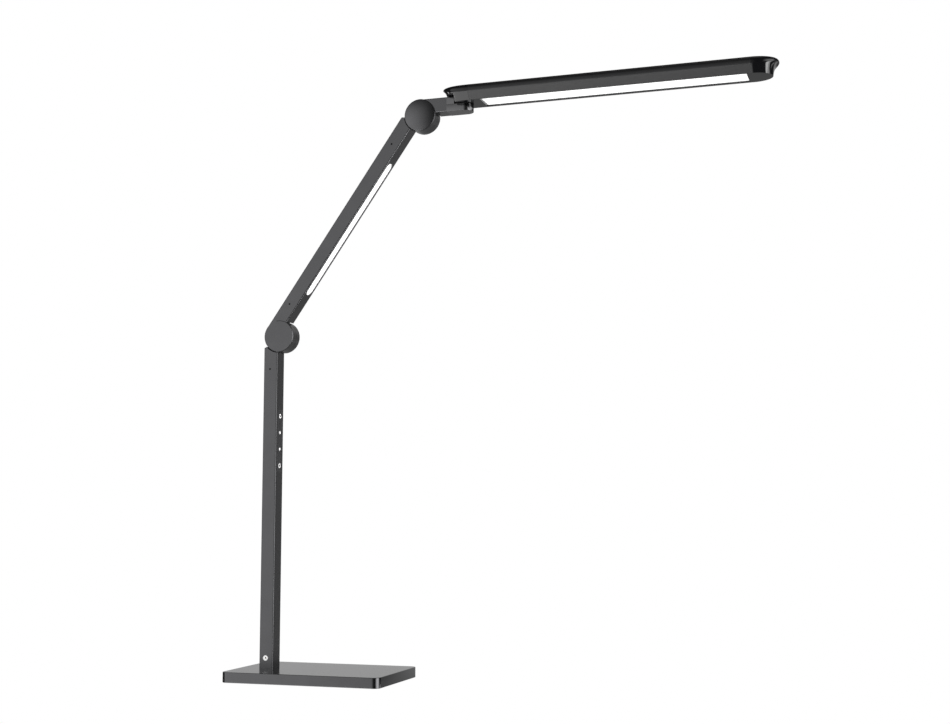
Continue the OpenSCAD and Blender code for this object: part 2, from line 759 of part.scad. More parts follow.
// Wire from the upper elbow along the neck, across to its middle and up to the head
module neck_lead_path(r, past) {
    z = elbow2[2] - channel_x;
    x = swivel_x - wire_back;
    translate([elbow2[0] + cross_z, -channel_y, z]) rotate([0, 90, 0])
        cylinder(r = r, h = x - elbow2[0] - cross_z);
    translate([x, -channel_y, z]) sphere(r = r);
    translate([x, -channel_y, z]) rotate([-90, 0, 0]) cylinder(r = r, h = channel_y);
    translate([x, 0, z]) sphere(r = r);
    translate([x, 0, z]) cylinder(r = r, h = neck_bottom + tube_w - z - 0.1 + past);
}

module neck_lead() color([0.5, 0.05, 0.05]) {
    neck_lead_path(lead_r, 0);
    translate(elbow2 + [cross_z, -channel_y, -channel_x]) sphere(r = lead_r);
    translate(elbow2 + [cross_z, 0, -channel_x]) disc_y(-1, lead_r, 0.6, channel_y);
}

module upper_bush() color([0.8, 0.7, 0.4]) in_elbow2() elbow_bush(-1);

module elbow_cover() color([0.2, 0.2, 0.21]) in_elbow2() {
    r = disc_r - 0.1;
    crown = tube_d / 2 + cover_proud + cover_dome;
    dome_r = (pow(r, 2) + pow(cover_dome, 2)) / (2 * cover_dome);
    rotate([90, 0, 0]) rotate_extrude() intersection() {
        translate([0, tube_d / 2 + tiny]) square([r, cover_proud + cover_dome]);
        translate([0, crown - dome_r]) circle(r = dome_r, $fn = 240);
    }
    // spigot that centres the cover in the screw's well
    disc_y(-1, well_r - 0.1, tube_d / 2 - plug_t, tube_d / 2 + 2 * tiny);
}

module swivel_washer() color([0.85, 0.82, 0.75]) at_swivel(tongue_h + tiny) difference() {
    cylinder(r = boss_r - 1, h = swivel_gap - 2 * tiny);
    translate([0, 0, -over]) cylinder(r = swivel_d / 2 + 0.1, h = swivel_gap + 2 * over);
}

module swivel_plug() color([0.03, 0.03, 0.03]) at_swivel(0.1)
    cylinder(r = swivel_head_r + 0.45, h = swivel_plug_t);

module swivel_spring_washer() color([0.5, 0.5, 0.52]) at_swivel(swivel_spring_z + tiny) difference() {
    cylinder(r = swivel_head_r - 0.1, h = swivel_floor - swivel_spring_z - 2 * tiny);
    translate([0, 0, -over]) cylinder(r = swivel_d / 2 + 0.1, h = 3 * over);
}

module swivel_screw() color([0.6, 0.6, 0.62]) at_swivel(0) difference() {
    union() {
        translate([0, 0, swivel_head_z]) cylinder(r = swivel_head_r, h = swivel_spring_z - swivel_head_z);
        translate([0, 0, swivel_spring_z])
            cylinder(r = swivel_d / 2, h = tongue_h + swivel_gap - swivel_spring_z - tiny);
        translate([0, 0, tongue_h]) cylinder(r = swivel_thread_r, h = swivel_gap + swivel_thread_l);
    }
    cylinder(d = 4, h = swivel_head_z + 1.4, $fn = 6);
}

// ---------- head ----------

// Half the width of the head's sloping wall at height z, measured g inside its outer face
function wall_half(z, g) = half_bottom - g / sin(slope) + z / tan(slope);

// Outline of the head's section g inside its outer face, above height z0
module head_outline(g, z0) {
    r = shoulder_r - g;
    foot = [wall_half(z0, g), z0];
    tangent = shoulder + r * [sin(slope), -cos(slope)];
    peak = shoulder + [0, r];
    polygon([foot, tangent, shoulder, peak, [-peak[0], peak[1]], [-shoulder[0], shoulder[1]],
             [-tangent[0], tangent[1]], [-foot[0], foot[1]]]);
    for (s = [-1, 1]) translate([s * shoulder[0], shoulder[1]]) circle(r = r);
}

// Extrudes a section along the head between two distances from the swivel axis
module along_head(x0, x1) {
    translate([x0, 0, 0]) rotate([90, 0, 90]) linear_extrude(x1 - x0) children();
}

// A box in the head from x0 to x1 and z0 to z1, with a given half width
module head_box(x0, x1, half, z0, z1) {
    translate([x0, -half, z0]) cube([x1 - x0, 2 * half, z1 - z0]);
}

module head_shell() color([0.05, 0.05, 0.05]) in_head() difference() {
    along_head(back_seam, front_seam) {
        difference() {
            head_outline(0, 0);
            head_outline(shell_wall, rim_h);
            translate([-half_bottom + rim_w, -over]) square([2 * (half_bottom - rim_w), rim_h + 2 * over]);
        }
        translate([-web_half, web_z]) square([2 * web_half, web_t]);
    }
    for (y = [-1, 1]) translate([block_screw[0], y * block_screw[1], web_z - over])
        cylinder(r = 1.7, h = web_t + 2 * over);
    translate([head_wire[0], head_wire[1], web_z - over]) cylinder(r = channel_r, h = web_t + 2 * over);
}
// Profile of a cap: [half width, height] at its side and [length, height] at its nose, foot to crown
cap_arc = 7;
function side_row(k) = k == 0 ? [half_bottom, 0]
    : let (f = slope - 90 + (180 - slope) * (k - 1) / cap_arc)
      shoulder + shoulder_r * [cos(f), sin(f)];
function nose_row(k, a) =
    let (c = [a - nose_r, head_h - nose_r],
         v = c - [a - nose_under, 0],
         lean = atan2(v[1], v[0]) - asin(nose_r / norm(v)))
    k == 0 ? [a - nose_under, 0]
    : let (f = lean - 90 + (180 - lean) * (k - 1) / cap_arc)
      c + nose_r * [cos(f), sin(f)];

// A hull-shaped end of length a: the head's section swept round an ellipse, its shoulder
// turning into the tighter one of the nose
module cap_hull(a) {
    rows = cap_arc + 2;
    cols = 28;
    points = [for (k = [0:rows - 1], j = [0:cols])
        let (t = -90 + 180 * j / cols,
             side = side_row(k),
             nose = nose_row(k, a))
        [nose[0] * cos(t), side[0] * sin(t), side[1] * pow(sin(t), 2) + nose[1] * pow(cos(t), 2)]];
    function at(k, j) = k * (cols + 1) + j;
    walls = [for (k = [0:rows - 2], j = [0:cols - 1], half = [0, 1])
        half == 0 ? [at(k, j), at(k + 1, j), at(k + 1, j + 1)]
        : [at(k, j), at(k + 1, j + 1), at(k, j + 1)]];
    floor_face = [for (j = [0:cols]) at(0, j)];
    roof_face = [for (j = [cols:-1:0]) at(rows - 1, j)];
    seam_face = concat([for (k = [0:rows - 1]) at(k, cols)], [for (k = [rows - 1:-1:0]) at(k, 0)]);
    polyhedron(points, concat(walls, [floor_face, roof_face, seam_face]));
}

// Tongue by which a cap closes the light channel between the seam and the light
module cap_tongue(x0, x1) {
    head_box(x0, x1, half_bottom - rim_w - tiny, 0, web_z - 1.3);
    head_box(x0, x1, wall_half(rim_h, shell_wall) - 0.1, rim_h + tiny, web_z - 1.3);
}

module back_cap() color([0.02, 0.02, 0.02]) in_head() {
    difference() {
        union() {
            translate([back_seam - tiny, 0, 0]) mirror([1, 0, 0]) cap_hull(cap_back_l - tiny);
            cap_tongue(back_seam - over, light_x0);
        }
        // pocket into which the neck's end reaches when the head is swivelled
        head_box(-2 * head_back, -pocket_x, head_w, -over, flange_z);
        intersection() {
            translate([0, 0, -over]) cylinder(r = pocket_r, h = flange_z + over);
            head_box(-2 * head_back, 2 - pocket_x, head_w, -over, flange_z);
        }
        // boss of the swivel block
        translate([0, 0, -over]) cylinder(r = boss_r + 0.1, h = web_z + web_t + over);
        // room for the swivel block and the wires round it
        head_box(block_x[0] - 0.5, back_seam + over, block_half + 3, web_z + web_t, block_top + 0.1);
        head_box(block_x[0] - 4, block_x[0], block_half + 3, web_z + web_t, web_z + web_t + 4.2);
        // slot for the wire that comes up from the neck
        translate([-wire_back, 0, flange_z - over]) linear_extrude(4) slot_2d(17, 5);
    }
}

module front_cap() color([0.02, 0.02, 0.02]) in_head() {
    difference() {
        translate([front_seam + tiny, 0, 0]) cap_hull(cap_front_l - tiny);
        // lightening pocket
        head_box(front_seam - over, front_seam + 11, 14, 3, 15);
    }
    cap_tongue(light_x1, front_seam + over);
    difference() {
        head_box(front_seam - 12, front_seam + over, 17, web_z + web_t + 0.05, head_h - shell_wall - 0.05);
        head_box(front_seam - 13, front_seam + 2, 15, web_z + web_t + 1.6, head_h - shell_wall - 1.6);
    }
}

module head_light_cover() color("white") in_head() {
    x0 = light_x0 + 0.1;
    x1 = light_x1 - 0.1;
    z0 = rim_h + tiny;
    half = wall_half(rim_h, shell_wall) - 0.2;
    head_box(x0, x1, half, z0, rim_h + cover_t);
    for (s = [-1, 1]) translate([x0, s * (half - 1.4) - 0.6, rim_h + cover_t - tiny])
        cube([x1 - x0, 1.2, web_z - led_board_t - rim_h - cover_t - tiny]);
}

module head_led_board() color([0.9, 0.9, 0.88]) in_head()
    head_box(light_x0 + 0.5, light_x1 - 0.5, half_bottom - 1.5, web_z - led_board_t, web_z - tiny);

module head_leds() color([0.95, 0.85, 0.4]) in_head() {
    pitch = 10;
    count = floor((light_x1 - light_x0 - 12) / pitch);
    for (i = [0:count], y = [-1, 1])
        translate([(light_x0 + light_x1) / 2 + (i - count / 2) * pitch, y * 7, web_z - led_board_t - 0.8])
            linear_extrude(0.8 - tiny) square([3.5, 2.8], center = true);
}

module driver_board() color([0.05, 0.3, 0.12]) in_head() {
    top = web_z + web_t;
    head_box(driver_x[0], driver_x[1], 14, top + 1, top + 2.2);
    for (x = [driver_x[0] + 4, driver_x[1] - 4], y = [-10, 10])
        translate([x, y, top + tiny]) cylinder(r = 2, h = 1.2);
}

module driver_parts() color([0.1, 0.1, 0.12]) in_head() {
    top = web_z + web_t + 2.2 + tiny;
    head_box(driver_x[0] + 12, driver_x[0] + 28, 8, top, top + 3);
    head_box(driver_x[0] + 60, driver_x[0] + 66, 4, top, top + 1.4);
    for (y = [-7, 7]) translate([driver_x[0] + 36, y, top + 1.6]) rotate([0, 90, 0])
        cylinder(r = 1.6, h = 14);
    translate([driver_x[0] + 90, 0, top]) cylinder(r = 6, h = 3);
}

// Wires of the head: along the swivel block to the driver board, and down to the LED board
module head_leads() color([0.5, 0.05, 0.05]) in_head() {
    r = 1.2;
    z = web_z + web_t + 2.6;
    translate([-wire_back, 0, flange_z + 0.2]) cylinder(r = r, h = z - flange_z - 0.2);
    translate([-wire_back, 0, z]) sphere(r = r);
    translate([-wire_back, 0, z]) rotate([-90, 0, 0]) cylinder(r = r, h = block_half + 1.5);
    translate([-wire_back, block_half + 1.5, z]) sphere(r = r);
    translate([-wire_back, block_half + 1.5, z]) rotate([0, 90, 0])
        cylinder(r = r, h = wire_back + driver_x[0] - tiny);
    translate([head_wire[0], head_wire[1], web_z + tiny]) cylinder(r = r, h = z - web_z);
}

module swivel_block() color([0.5, 0.5, 0.52]) in_head() difference() {
    union() {
        head_box(block_x[0], block_x[1], block_half, web_z + web_t + tiny, block_top);
        cylinder(r = boss_r, h = web_z + web_t + 1);
    }
    translate([0, 0, -over]) cylinder(r = swivel_thread_r + tiny, h = swivel_thread_l + over + 0.5);
    for (y = [-1, 1]) translate([block_screw[0], y * block_screw[1], 0])
        cylinder(r = 1.5 + tiny, h = web_z + web_t + 4.6);
}

module block_screws() color([0.4, 0.4, 0.42]) in_head()
    for (y = [-1, 1]) translate([block_screw[0], y * block_screw[1], web_z - 1.2]) difference() {
        union() {
            cylinder(r = 2.8, h = 1.2 - tiny);
            cylinder(r = 1.5, h = web_t + 5.2);
        }
        translate([0, 0, -over]) cylinder(d = 1.6, h = over + 0.7, $fn = 6);
    }

base_plate();
base_pad();
post_foot();
foot_screws();
post_tube();
touch_panel();
touch_symbols();
touch_board();
symbol_leds();
inlet_ring();
inlet_body();
inlet_pin();
post_leads();
post_knuckle();
post_set_screw();
lower_bush();
lower_friction_washer();
lower_end_plug();
arm_tube();
arm_light_cover();
arm_led_board();
arm_leds();
arm_leads();
arm_lower_knuckle();
arm_upper_knuckle();
arm_set_screws();
lower_pivot_screw();
lower_spring_washers();
upper_pivot_screw();
upper_spring_washers();
upper_friction_washer();
neck_knuckle();
upper_bush();
elbow_cover();
swivel_bracket();
bracket_screws();
swivel_washer();
swivel_plug();
neck_lead();
head_shell();
back_cap();
front_cap();
head_light_cover();
head_led_board();
head_leds();
driver_board();
driver_parts();
head_leads();
swivel_block();
block_screws();
swivel_screw();
swivel_spring_washer();
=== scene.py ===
"""Looks of a folding desk lamp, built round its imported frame.

The lamp stands on the floor at z = 0, reaches along +X and is seen from -Y. Lengths in the code
are millimetres, turned into metres when a mesh is written. Each piece is a surface worked out as
whole arrays: a closed outline carried through levels, a section carried along a line, or a profile
turned round an axis."""

import json
import math

import bmesh
import bpy
import numpy as np
from bpy.props import FloatProperty, FloatVectorProperty, PointerProperty
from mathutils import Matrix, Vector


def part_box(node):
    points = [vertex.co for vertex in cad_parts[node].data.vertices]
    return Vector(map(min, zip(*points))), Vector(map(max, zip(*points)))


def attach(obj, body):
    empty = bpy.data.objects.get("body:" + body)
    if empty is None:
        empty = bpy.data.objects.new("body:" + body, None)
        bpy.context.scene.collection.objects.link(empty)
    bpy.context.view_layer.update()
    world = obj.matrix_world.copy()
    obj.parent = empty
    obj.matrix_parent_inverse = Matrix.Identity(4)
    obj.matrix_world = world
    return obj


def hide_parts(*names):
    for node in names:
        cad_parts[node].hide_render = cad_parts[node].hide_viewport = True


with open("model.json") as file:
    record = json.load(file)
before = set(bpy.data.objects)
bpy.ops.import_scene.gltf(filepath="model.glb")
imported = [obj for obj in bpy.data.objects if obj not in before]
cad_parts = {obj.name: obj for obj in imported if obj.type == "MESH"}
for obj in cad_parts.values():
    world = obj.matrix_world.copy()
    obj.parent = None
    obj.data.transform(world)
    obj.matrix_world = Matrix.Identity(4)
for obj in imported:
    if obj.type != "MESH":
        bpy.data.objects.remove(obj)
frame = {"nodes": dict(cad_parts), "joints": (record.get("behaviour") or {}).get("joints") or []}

bl_info = {
    "name": "Folding desk lamp",
    "version": (1, 0, 0),
    "blender": (4, 5, 0),
    "location": "3D View > Sidebar > Lamp",
    "description": "Builds the visible surfaces and finishes of a folding desk lamp on its frame",
    "category": "Add Mesh",
}

MM = 0.001
SEAT_GAP = 0.02          # between two surfaces that lie on each other
LIGHT_GAP = 0.1          # between the head's light and the caps' tongues
FLAT_RING = 0.3          # width of the ring that keeps a face flat inside its rounded edge
MERGE = 1e-6             # in metres: points nearer to each other than this become one


# ---------- the frame's own measures ----------

def node_box(name):
    """Lowest and highest corner of a CAD node, in millimetres."""
    low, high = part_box(name)
    return np.array(low) / MM, np.array(high) / MM


def joint_place(name):
    """Point on a joint's axis, in millimetres."""
    place = next(j["pos_m"] for j in frame["joints"] if j["name"] == name)
    return np.array(place, float) / MM


BASE = node_box("base_plate")
PAD = node_box("base_pad")
SHELL = node_box("head_shell")
BACK_CAP = node_box("back_cap")
FRONT_CAP = node_box("front_cap")
BRACKET = node_box("swivel_bracket")
COVER = node_box("elbow_cover")
HEAD_LIGHT = node_box("head_light_cover")
TONGUE_Z = node_box("swivel_washer")[0][2] - SEAT_GAP    # upper face of the bracket's tongue
UPPER = joint_place("elbow_upper")
SWIVEL = joint_place("head_swivel")
HEAD_Z = SHELL[0][2]                           # the head's underside
HEAD_HEIGHT = SHELL[1][2] - SHELL[0][2]
HEAD_HALF = (SHELL[1][1] - SHELL[0][1]) / 2    # half of the head's width


# ---------- fixed sizes, in millimetres ----------

PAD_GAP = 0.1            # between the pad and the recess round it
PAD_EDGES = (0.4, 0.1)   # roundings of the pad's lower and upper edges

SYMBOLS = 4              # touch symbols, of which the first and the last are rings
SYMBOL_EDGE = 0.12       # bevel of a symbol's edges
RING_WIDTH = 1.3         # width of a ring symbol's line
RING_DEPTH = 1.0         # depth of a ring symbol's middle
INLET_EDGE = 0.2         # bevel of the inlet ring's edges

SPIGOT_DEPTH = 1.2       # how far the domed cover's spigot reaches into the elbow
SPIGOT_RADIUS = 8.5
COVER_EDGE = 0.25        # rounding between the cover's rim and its crown
COVER_LIFT = 0.1         # how far that rounding is raised to meet the crown

NECK_SEAM = 34.02        # from the upper elbow's axis to the seam of the swivel bracket
BRACKET_STEP = 9.6       # from that seam to the bracket's step
STEP_RISE = 0.01         # from the tongue's face to the first ring of the part above it
# Upper edge of the bracket's tongue: pairs of inset and height above the tongue's face
TONGUE_EDGE = [(0.0, -0.25), (0.06, -0.08), (0.25, 0.0), (0.45, 0.0)]

SHELL_BEVEL = 0.1        # bevel round the shell's two ends
HOLLOW_LEAN = 1          # from the foot out to the lower control point of the wall under a lip
HOLLOW_DROP = 1.2        # from the lip down to that wall's upper control point
LIP_START = -80          # where a lip's lower edge begins, in degrees from straight out
LIP_POWER = 7            # how fast a cap's lip gives way to the straight nose beside it
BACK_POWER = 0.8         # power of the back cap's outline from above; 1 is an ellipse
POCKET_HEIGHT = 9.24     # ceiling of the back cap's pocket, above the head's underside
POCKET_REACH = 8.8       # from the pocket's end to the swivel's axis
POCKET_STEP = 2          # how much further the pocket goes in its middle
POCKET_HALF = 14.6       # half the width of that middle


# ---------- sizes and colours of the panel ----------

def length(name, description, default):
    """A size that the panel shows, in metres."""
    return FloatProperty(name=name, description=description, default=default * MM, min=0,
                         unit="LENGTH", subtype="DISTANCE", precision=5)


def colour(name, description, default):
    """A colour that the panel shows, as linear red, green and blue."""
    return FloatVectorProperty(name=name, description=description, default=default, size=3,
                               min=0, max=1, subtype="COLOR")


class LampSizes(bpy.types.PropertyGroup):
    """Sizes of edges, rims and roundings that the frame's boxes don't give"""
    base_corner: length("Base corner", "Radius of the plate's upright corners", 8.4)
    base_edge: length("Base edge", "Rounding along the plate's upper and lower edges", 0.6)
    pad_corner: length("Pad corner", "Radius of the pad's upright corners", 8.4)
    shell_wall: length("Shell wall", "Wall of the head's shell", 1.6)
    shell_bottom: length("Shell underside", "Width of the head's flat underside", 35.5)
    shoulder: length("Shoulder", "Radius of the head's shoulders", 6.5)
    rim: length("Rim width", "Width of the rim beside the head's light", 1.2)
    rim_height: length("Rim height", "Depth of the head's light inside its rim", 2.2)
    nose: length("Nose", "Radius of a cap's upper edge beside the lip", 3.4)
    front_lip: length("Front lip", "Upper radius of the front cap's lip", 3.4)
    back_lip: length("Back lip", "Upper radius of the back cap's lip", 1.3)
    lip_edge: length("Lip edge", "Rounding of the lower edge of a cap's lip", 0.6)
    lip_depth: length("Lip depth", "How far the wall is drawn in under a cap's lip", 5.4)
    nose_under: length("Nose undercut", "Distance by which a cap's foot lies behind its nose", 7)
    neck_edge: length("Bracket top", "Rounding of the bracket's upper edge", 1.2)
    bracket_under: length("Bracket underside", "Rounding of the bracket's lower edge", 0.25)
    cover_rim: length("Cover rim", "Height of the rim round the elbow's domed cover", 1.6)
    inlet_bore: length("Inlet bore", "Diameter of the power inlet's bore", 2.5)
    symbol_ring: length("Ring symbol", "Diameter of a ring-shaped touch symbol", 5.6)
    symbol_dot: length("Dot symbol", "Diameter of a dot-shaped touch symbol", 3.8)


class LampColours(bpy.types.PropertyGroup):
    """Colours of the lamp's finishes"""
    graphite: colour("Graphite", "Paint of the base", (0.120, 0.120, 0.124))
    tube: colour("Tube", "Anodised tubes", (0.120, 0.120, 0.124))
    cast: colour("Castings", "Knuckles and covers of the elbows", (0.120, 0.120, 0.124))
    gloss: colour("Gloss black", "Polished plastic of the caps", (0.006, 0.006, 0.007))
    shell: colour("Shell black", "Lacquer of the head's shell", (0.008, 0.008, 0.009))
    light: colour("Light cover", "Milky plastic of the lights", (0.90, 0.90, 0.89))
    rubber: colour("Rubber", "Anti-slip pad", (0.020, 0.020, 0.020))
    steel: colour("Steel", "Screws and springs", (0.55, 0.56, 0.58))
    board: colour("Circuit board", "Solder mask of the boards", (0.010, 0.110, 0.045))


# ---------- outlines and profiles ----------

def arc(centre, radius, start, end, steps):
    """Points of a circular arc: centre plus radius times (cos a, sin a), for even angles a in
    degrees."""
    a = np.radians(np.linspace(start, end, steps + 1))
    return np.column_stack([centre[0] + radius * np.cos(a), centre[1] + radius * np.sin(a)])


def rounded_outline(half, radius, steps=10):
    """Closed outline of a rounded rectangle: a quarter circle in each corner, anticlockwise."""
    x, y = half[0] - radius, half[1] - radius
    return np.vstack([arc((x, y), radius, 0, 90, steps),
                      arc((-x, y), radius, 90, 180, steps),
                      arc((-x, -y), radius, 180, 270, steps),
                      arc((x, -y), radius, 270, 360, steps)])


def side_levels(low, high, edge_low, edge_high, steps=5):
    """Pairs (inset, height) up a slab's side: a quarter circle out from the underside, the
    straight side and a quarter circle in to the top. A narrow flat ring at each end keeps the
    faces flat."""
    down = arc((edge_low, low + edge_low), edge_low, 270, 180, steps)
    up = arc((edge_high, high - edge_high), edge_high, 180, 90, steps)
    return np.vstack([[edge_low + FLAT_RING, low], down, up, [edge_high + FLAT_RING, high]])


def level_ring(outline, z):
    """An outline in (x, y) as a ring of points at a height."""
    return np.column_stack([outline, np.full(len(outline), z)])


def stacked(outline_at, levels):
    """Rings of a form that stands on z: at each (inset, height) the outline drawn in by the
    inset."""
    return np.stack([level_ring(outline_at(inset), z) for inset, z in levels])


def turned(profile, steps):
    """Rings of a turned form: each (radius, height) of the profile once round the z axis."""
    a = np.linspace(0, 2 * math.pi, steps, endpoint=False)
    circle = np.column_stack([np.cos(a), np.sin(a)])
    rim = np.asarray(profile, float)
    rings = np.empty((len(rim), steps, 3))
    rings[:, :, :2] = rim[:, None, :1] * circle[None]
    rings[:, :, 2] = rim[:, 1:2]
    return rings


def grown(points, distance):
    """A closed outline moved outward by a distance, along the mean normal of the two sides at a
    point."""
    before = points - np.roll(points, 1, 0)
    after = np.roll(points, -1, 0) - points
    normals = [np.column_stack([side[:, 1], -side[:, 0]]) / np.linalg.norm(side, axis=1)[:, None]
               for side in (before, after)]
    mean = normals[0] + normals[1]
    mean /= (mean * normals[0]).sum(1)[:, None]
    return points + distance * mean


def along_x(section, stations):
    """Rings of a section (y, z) carried along x: at each (x, growth) the section grown by that
    much."""
    return np.stack([np.column_stack([np.full(len(section), x), grown(section, growth)])
                     for x, growth in stations])


# ---------- skins and meshes ----------

def skin(rings, loop=False):
    """Closed skin over rings of equally many points: a quad between neighbouring points of two
    neighbouring rings, and one face over each end, or the last ring joined to the first."""
    m, n = rings.shape[:2]
    i = np.arange(m if loop else m - 1)[:, None]
    j = np.arange(n)[None]
    here, there = i * n, (i + 1) % m * n
    quads = np.stack([here + j, here + (j + 1) % n, there + (j + 1) % n, there + j], -1)
    faces = quads.reshape(-1, 4).tolist()
    if not loop:
        faces += [list(range(n - 1, -1, -1)), list(range((m - 1) * n, m * n))]
    return rings.reshape(-1, 3), faces


def placed(shape, origin, x_axis, y_axis):
    """A skin moved from its own frame: its x and y go along the two unit vectors, from the
    origin."""
    points, faces = shape
    x, y = np.asarray(x_axis, float), np.asarray(y_axis, float)
    turn = np.stack([x, y, np.cross(x, y)])
    return points @ turn + np.asarray(origin, float), faces


def write_mesh(name, shapes, body, slot, nodes, sharp=34, look=None):
    """Joins skins into one mesh with smooth faces and sharp edges past an angle in degrees, and
    puts it on a body in place of its CAD nodes, in its slot's finish or another look of that
    material."""
    points, faces, base = [], [], 0
    for verts, polys in shapes:
        points.append(verts)
        faces += [[k + base for k in p] for p in polys]
        base += len(verts)
    mesh = bpy.data.meshes.new(name)
    mesh.from_pydata((np.vstack(points) * MM).tolist(), [], faces)
    edit = bmesh.new()
    edit.from_mesh(mesh)
    bmesh.ops.remove_doubles(edit, verts=edit.verts, dist=MERGE)
    bmesh.ops.dissolve_degenerate(edit, edges=edit.edges, dist=MERGE)
    bmesh.ops.recalc_face_normals(edit, faces=edit.faces)
    open_edges = sum(not e.is_manifold for e in edit.edges)
    edit.to_mesh(mesh)
    edit.free()
    if open_edges:
        raise RuntimeError(f"{name} has {open_edges} open edges")
    mesh.polygons.foreach_set("use_smooth", np.ones(len(mesh.polygons), bool))
    mesh.set_sharp_from_angle(angle=math.radians(sharp))
    mesh.update()
    piece = bpy.data.objects.new(name, mesh)
    bpy.context.scene.collection.objects.link(piece)
    piece.data.materials.append(finish(look or slot))
    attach(piece, body)
    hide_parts(*nodes)


# ---------- finishes ----------

def noise_link(tree, coordinates, scale, detail, stretch=(1, 1, 1)):
    """Noise of a given scale on object coordinates, stretched along the axes."""
    mapping = tree.nodes.new("ShaderNodeMapping")
    mapping.inputs["Scale"].default_value = stretch
    tree.links.new(coordinates, mapping.inputs["Vector"])
    noise = tree.nodes.new("ShaderNodeTexNoise")
    noise.inputs["Scale"].default_value = scale
    noise.inputs["Detail"].default_value = detail
    tree.links.new(mapping.outputs["Vector"], noise.inputs["Vector"])
    return noise.outputs["Fac"]


def spread(tree, value, low, high):
    """Maps noise between 0.3 and 0.7, where nearly all of it lies, to a range."""
    ramp = tree.nodes.new("ShaderNodeMapRange")
    ramp.inputs["From Min"].default_value = 0.3
    ramp.inputs["From Max"].default_value = 0.7
    ramp.inputs["To Min"].default_value = low
    ramp.inputs["To Max"].default_value = high
    tree.links.new(value, ramp.inputs["Value"])
    return ramp.outputs["Result"]


def tinted(tree, value, colour_now, amount):
    """The colour, darker and lighter by an amount as noise goes from low to high. Inputs 6 and 7
    and output 2 are the colour sockets of a Mix node."""
    mix = tree.nodes.new("ShaderNodeMix")
    mix.data_type = "RGBA"
    mix.inputs[6].default_value = (*[c * (1 - amount) for c in colour_now], 1)
    mix.inputs[7].default_value = (*[min(1, c * (1 + amount)) for c in colour_now], 1)
    tree.links.new(spread(tree, value, 0, 1), mix.inputs[0])
    return mix.outputs[2]


def finish_table():
    """Values of every finish: colour, metallic, roughness and its spread, the colour's spread
    (tint), noise scales per metre for tint and grain, the grain's depth in millimetres and its
    stretch, specular level and glow. What a finish leaves out it takes from the plain one."""
    colours = bpy.context.scene.lamp_colours
    plain = dict(metallic=0, rough=0.5, rough_spread=0.05, tint=0.06, tint_scale=60,
                 grain_scale=900, grain=0.004, stretch=(1, 1, 1), specular=0.5, glow=0)
    values = {
        "graphite_paint": dict(colour=colours.graphite, metallic=1, rough=0.16, rough_spread=0.03,
                               grain_scale=1400, grain=0.0008, tint=0.03),
        "anodised": dict(colour=colours.tube, metallic=1, rough=0.26,
                         grain_scale=1500, grain=0.0008, tint=0.03),
        "cast_dark": dict(colour=colours.cast, metallic=1, rough=0.26,
                          grain_scale=1100, grain=0.0008, tint=0.04),
        # Bracket: the graphite paint of the base, but a lighter colour (0.18 against 0.12) that
        # paints in light where the head's overhang shades the bracket's near face
        "bracket_graphite_painted_light": dict(colour=(0.180, 0.180, 0.184), metallic=1, rough=0.20,
                                grain=0.001, tint=0.03),
        "gloss_black": dict(colour=colours.gloss, rough=0.06, rough_spread=0.02, grain=0.0004,
                            specular=0.4),
        "shell_black": dict(colour=colours.shell, rough=0.36, rough_spread=0.04, grain=0.001),
        "matt_black": dict(colour=(0.020, 0.020, 0.021), rough=0.55, grain=0.010),
        "touch_black": dict(colour=(0.030, 0.030, 0.032), rough=0.30, grain=0.002),
        "light_white": dict(colour=colours.light, rough=0.35, tint=0.01, grain=0.002, glow=0.8),
        "symbol_white": dict(colour=colours.light, rough=0.30, tint=0.01, grain=0.001, glow=0.5),
        "rubber": dict(colour=colours.rubber, rough=0.80, grain_scale=700, grain=0.030, tint=0.10),
        "plain_alu": dict(colour=(0.58, 0.59, 0.60), metallic=1, rough=0.38, stretch=(1, 1, 14)),
        "steel": dict(colour=colours.steel, metallic=1, rough=0.30, stretch=(1, 14, 1)),
        "black_steel": dict(colour=(0.012, 0.012, 0.012), rough=0.60, specular=0.12),
        "brass": dict(colour=(0.62, 0.46, 0.20), metallic=1, rough=0.28, stretch=(1, 14, 1)),
        "friction_plastic": dict(colour=(0.62, 0.59, 0.52), rough=0.45),
        "board_green": dict(colour=colours.board, rough=0.32, tint=0.12, tint_scale=250),
        "board_white": dict(colour=(0.80, 0.80, 0.78), rough=0.40, tint=0.03, tint_scale=250),
        "led_yellow": dict(colour=(0.80, 0.55, 0.08), rough=0.30, tint=0.05, tint_scale=400),
        "part_black": dict(colour=(0.015, 0.015, 0.017), rough=0.35, grain=0.006),
        "wire_red": dict(colour=(0.30, 0.015, 0.012), rough=0.42, grain=0.004),
    }
    return {name: {**plain, **own} for name, own in values.items()}


